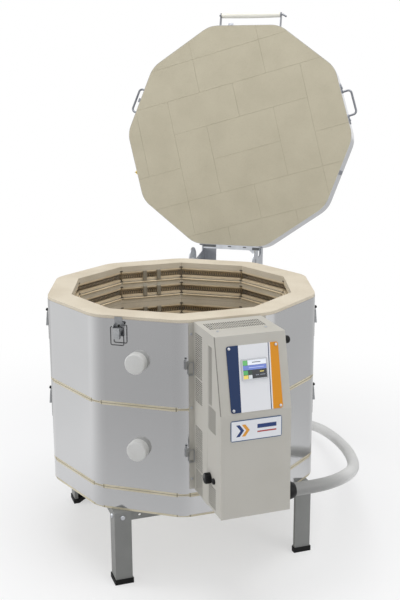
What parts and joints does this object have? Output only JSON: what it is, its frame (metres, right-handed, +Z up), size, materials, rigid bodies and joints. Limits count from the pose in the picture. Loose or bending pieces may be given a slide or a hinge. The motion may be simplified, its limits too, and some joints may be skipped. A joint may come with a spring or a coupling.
{
  "type": "electric kiln",
  "caption": "Ten-sided top-loading electric kiln with a swung-open firebrick lid, stainless jacket, side control box, four-legged stand and supply cord.",
  "frame": {"origin": "centre of the chamber floor, on its top face", "axes": "+Z up through the chamber, -Y towards the front latch, +X to the right"},
  "size_m": [0.9034, 1.3926, 1.4794],
  "materials": {
    "firebrick": "matte porous",
    "kiln_ceramic": "matte",
    "stainless": "satin",
    "zinc_steel": "satin",
    "spring_steel": "oiled",
    "element_wire": "oxidised",
    "box_paint": "satin",
    "stand_paint": "satin",
    "foot_rubber": "matte",
    "panel_film": "satin",
    "screen_glass": "gloss",
    "badge_sheet": "satin",
    "black_plastic": "satin",
    "terminal_plastic": "matte",
    "core_iron": "matte",
    "terminal_brass": "bright",
    "cord_sheath": "satin",
    "plug_body": "matte",
    "grip_plastic": "satin"
  },
  "bodies": {
    "kiln": {"access_cap": "black_plastic", "badge_plate": "badge_sheet", "box_screws": "zinc_steel", "controller_plate": "panel_film", "cord_grip": "black_plastic", "element_holders": "kiln_ceramic", "floor_band": "stainless", "floor_slab": "firebrick", "foot_caps": "foot_rubber", "front_cover": "box_paint", "fuse_cap": "black_plastic", "groove_clips": "kiln_ceramic", "heating_elements": "element_wire", "hinge_bracket": "zinc_steel", "hinge_rod": "zinc_steel", "hinge_spring": "spring_steel", "inner_panel": "zinc_steel", "latch_bases": "stainless", "lead_bushes": "kiln_ceramic", "lead_terminals": "terminal_brass", "lower_brick_ring": "firebrick", "lower_jacket": "stainless", "plug_blades": "terminal_brass", "power_relays": "black_plastic", "power_switch": "black_plastic", "rear_box": "box_paint", "stand_bolts": "zinc_steel", "stand_legs": "stand_paint", "stand_rails": "stand_paint", "supply_cord": "cord_sheath", "supply_plug": "plug_body", "terminal_block": "terminal_plastic", "touch_screen": "screen_glass", "transformer": "core_iron", "upper_brick_ring": "firebrick", "upper_jacket": "stainless"},
    "lid": {"lid_slab": "firebrick", "lid_band": "stainless", "lid_hinge": "zinc_steel", "lid_screws": "zinc_steel", "front_handle_bracket": "stainless", "left_handle": "stainless", "right_handle": "stainless", "lid_side_bracket": "zinc_steel", "lid_keepers": "stainless"},
    "lid_grip": {"front_handle_roller": "grip_plastic"},
    "upper_plug": {"upper_peephole_plug": "kiln_ceramic"},
    "lower_plug": {"lower_peephole_plug": "kiln_ceramic"},
    "power_knob_body": {"power_knob": "black_plastic"},
    "front_lever": {"front_latch_lever": "stainless"},
    "front_bail": {"front_latch_bail": "zinc_steel"},
    "left_upper_lever": {"left_upper_latch_lever": "stainless"},
    "left_upper_bail": {"left_upper_latch_bail": "zinc_steel"},
    "left_lower_lever": {"left_lower_latch_lever": "stainless"},
    "left_lower_bail": {"left_lower_latch_bail": "zinc_steel"},
    "right_upper_lever": {"right_upper_latch_lever": "stainless"},
    "right_upper_bail": {"right_upper_latch_bail": "zinc_steel"},
    "right_lower_lever": {"right_lower_latch_lever": "stainless"},
    "right_lower_bail": {"right_lower_latch_bail": "zinc_steel"}
  },
  "joints": [
    {"name": "lid_hinge", "type": "hinge", "parent": "kiln", "child": "lid", "pos_m": [0, 0.4412, 0.4109], "axis": [1, 0, 0], "range_deg": [0, 104.8]},
    {"name": "grip_spin", "type": "hinge", "parent": "lid", "child": "lid_grip", "pos_m": [0.0125, 0.73257, 1.20657], "axis": [1, 0, 0], "continuous": true},
    {"name": "upper_plug_slide", "type": "slide", "parent": "kiln", "child": "upper_plug", "axis": [0, -1, 0], "range_m": [0, 0.095]},
    {"name": "lower_plug_slide", "type": "slide", "parent": "kiln", "child": "lower_plug", "axis": [0, -1, 0], "range_m": [0, 0.095]},
    {"name": "power_knob_turn", "type": "hinge", "parent": "kiln", "child": "power_knob_body", "pos_m": [0.2083, -0.43641, 0.0952], "axis": [0.809, 0.5878, 0], "range_deg": [0, 90]},
    {"name": "front_lever_swing", "type": "hinge", "parent": "kiln", "child": "front_lever", "pos_m": [-0.047, -0.3705, 0.4272], "axis": [-1, 0, 0], "range_deg": [0, 80]},
    {"name": "front_bail_swing", "type": "hinge", "parent": "kiln", "child": "front_bail", "pos_m": [-0.047, -0.3705, 0.4322], "axis": [-1, 0, 0], "range_deg": [0, 170]},
    {"name": "left_upper_lever_swing", "type": "hinge", "parent": "kiln", "child": "left_upper_lever", "pos_m": [-0.35237, -0.11449, 0.3822], "axis": [-0.309, 0.9511, 0], "range_deg": [0, 80]},
    {"name": "left_upper_bail_swing", "type": "hinge", "parent": "kiln", "child": "left_upper_bail", "pos_m": [-0.35237, -0.11449, 0.3872], "axis": [-0.309, 0.9511, 0], "range_deg": [0, 170]},
    {"name": "left_lower_lever_swing", "type": "hinge", "parent": "kiln", "child": "left_lower_lever", "pos_m": [-0.35237, -0.11449, 0.1536], "axis": [-0.309, 0.9511, 0], "range_deg": [0, 80]},
    {"name": "left_lower_bail_swing", "type": "hinge", "parent": "kiln", "child": "left_lower_bail", "pos_m": [-0.35237, -0.11449, 0.1586], "axis": [-0.309, 0.9511, 0], "range_deg": [0, 170]},
    {"name": "right_upper_lever_swing", "type": "hinge", "parent": "kiln", "child": "right_upper_lever", "pos_m": [0.35237, 0.11449, 0.3822], "axis": [0.309, -0.9511, 0], "range_deg": [0, 80]},
    {"name": "right_upper_bail_swing", "type": "hinge", "parent": "kiln", "child": "right_upper_bail", "pos_m": [0.35237, 0.11449, 0.3872], "axis": [0.309, -0.9511, 0], "range_deg": [0, 170]},
    {"name": "right_lower_lever_swing", "type": "hinge", "parent": "kiln", "child": "right_lower_lever", "pos_m": [0.35237, 0.11449, 0.1536], "axis": [0.309, -0.9511, 0], "range_deg": [0, 80]},
    {"name": "right_lower_bail_swing", "type": "hinge", "parent": "kiln", "child": "right_lower_bail", "pos_m": [0.35237, 0.11449, 0.1586], "axis": [0.309, -0.9511, 0], "range_deg": [0, 170]}
  ]
}
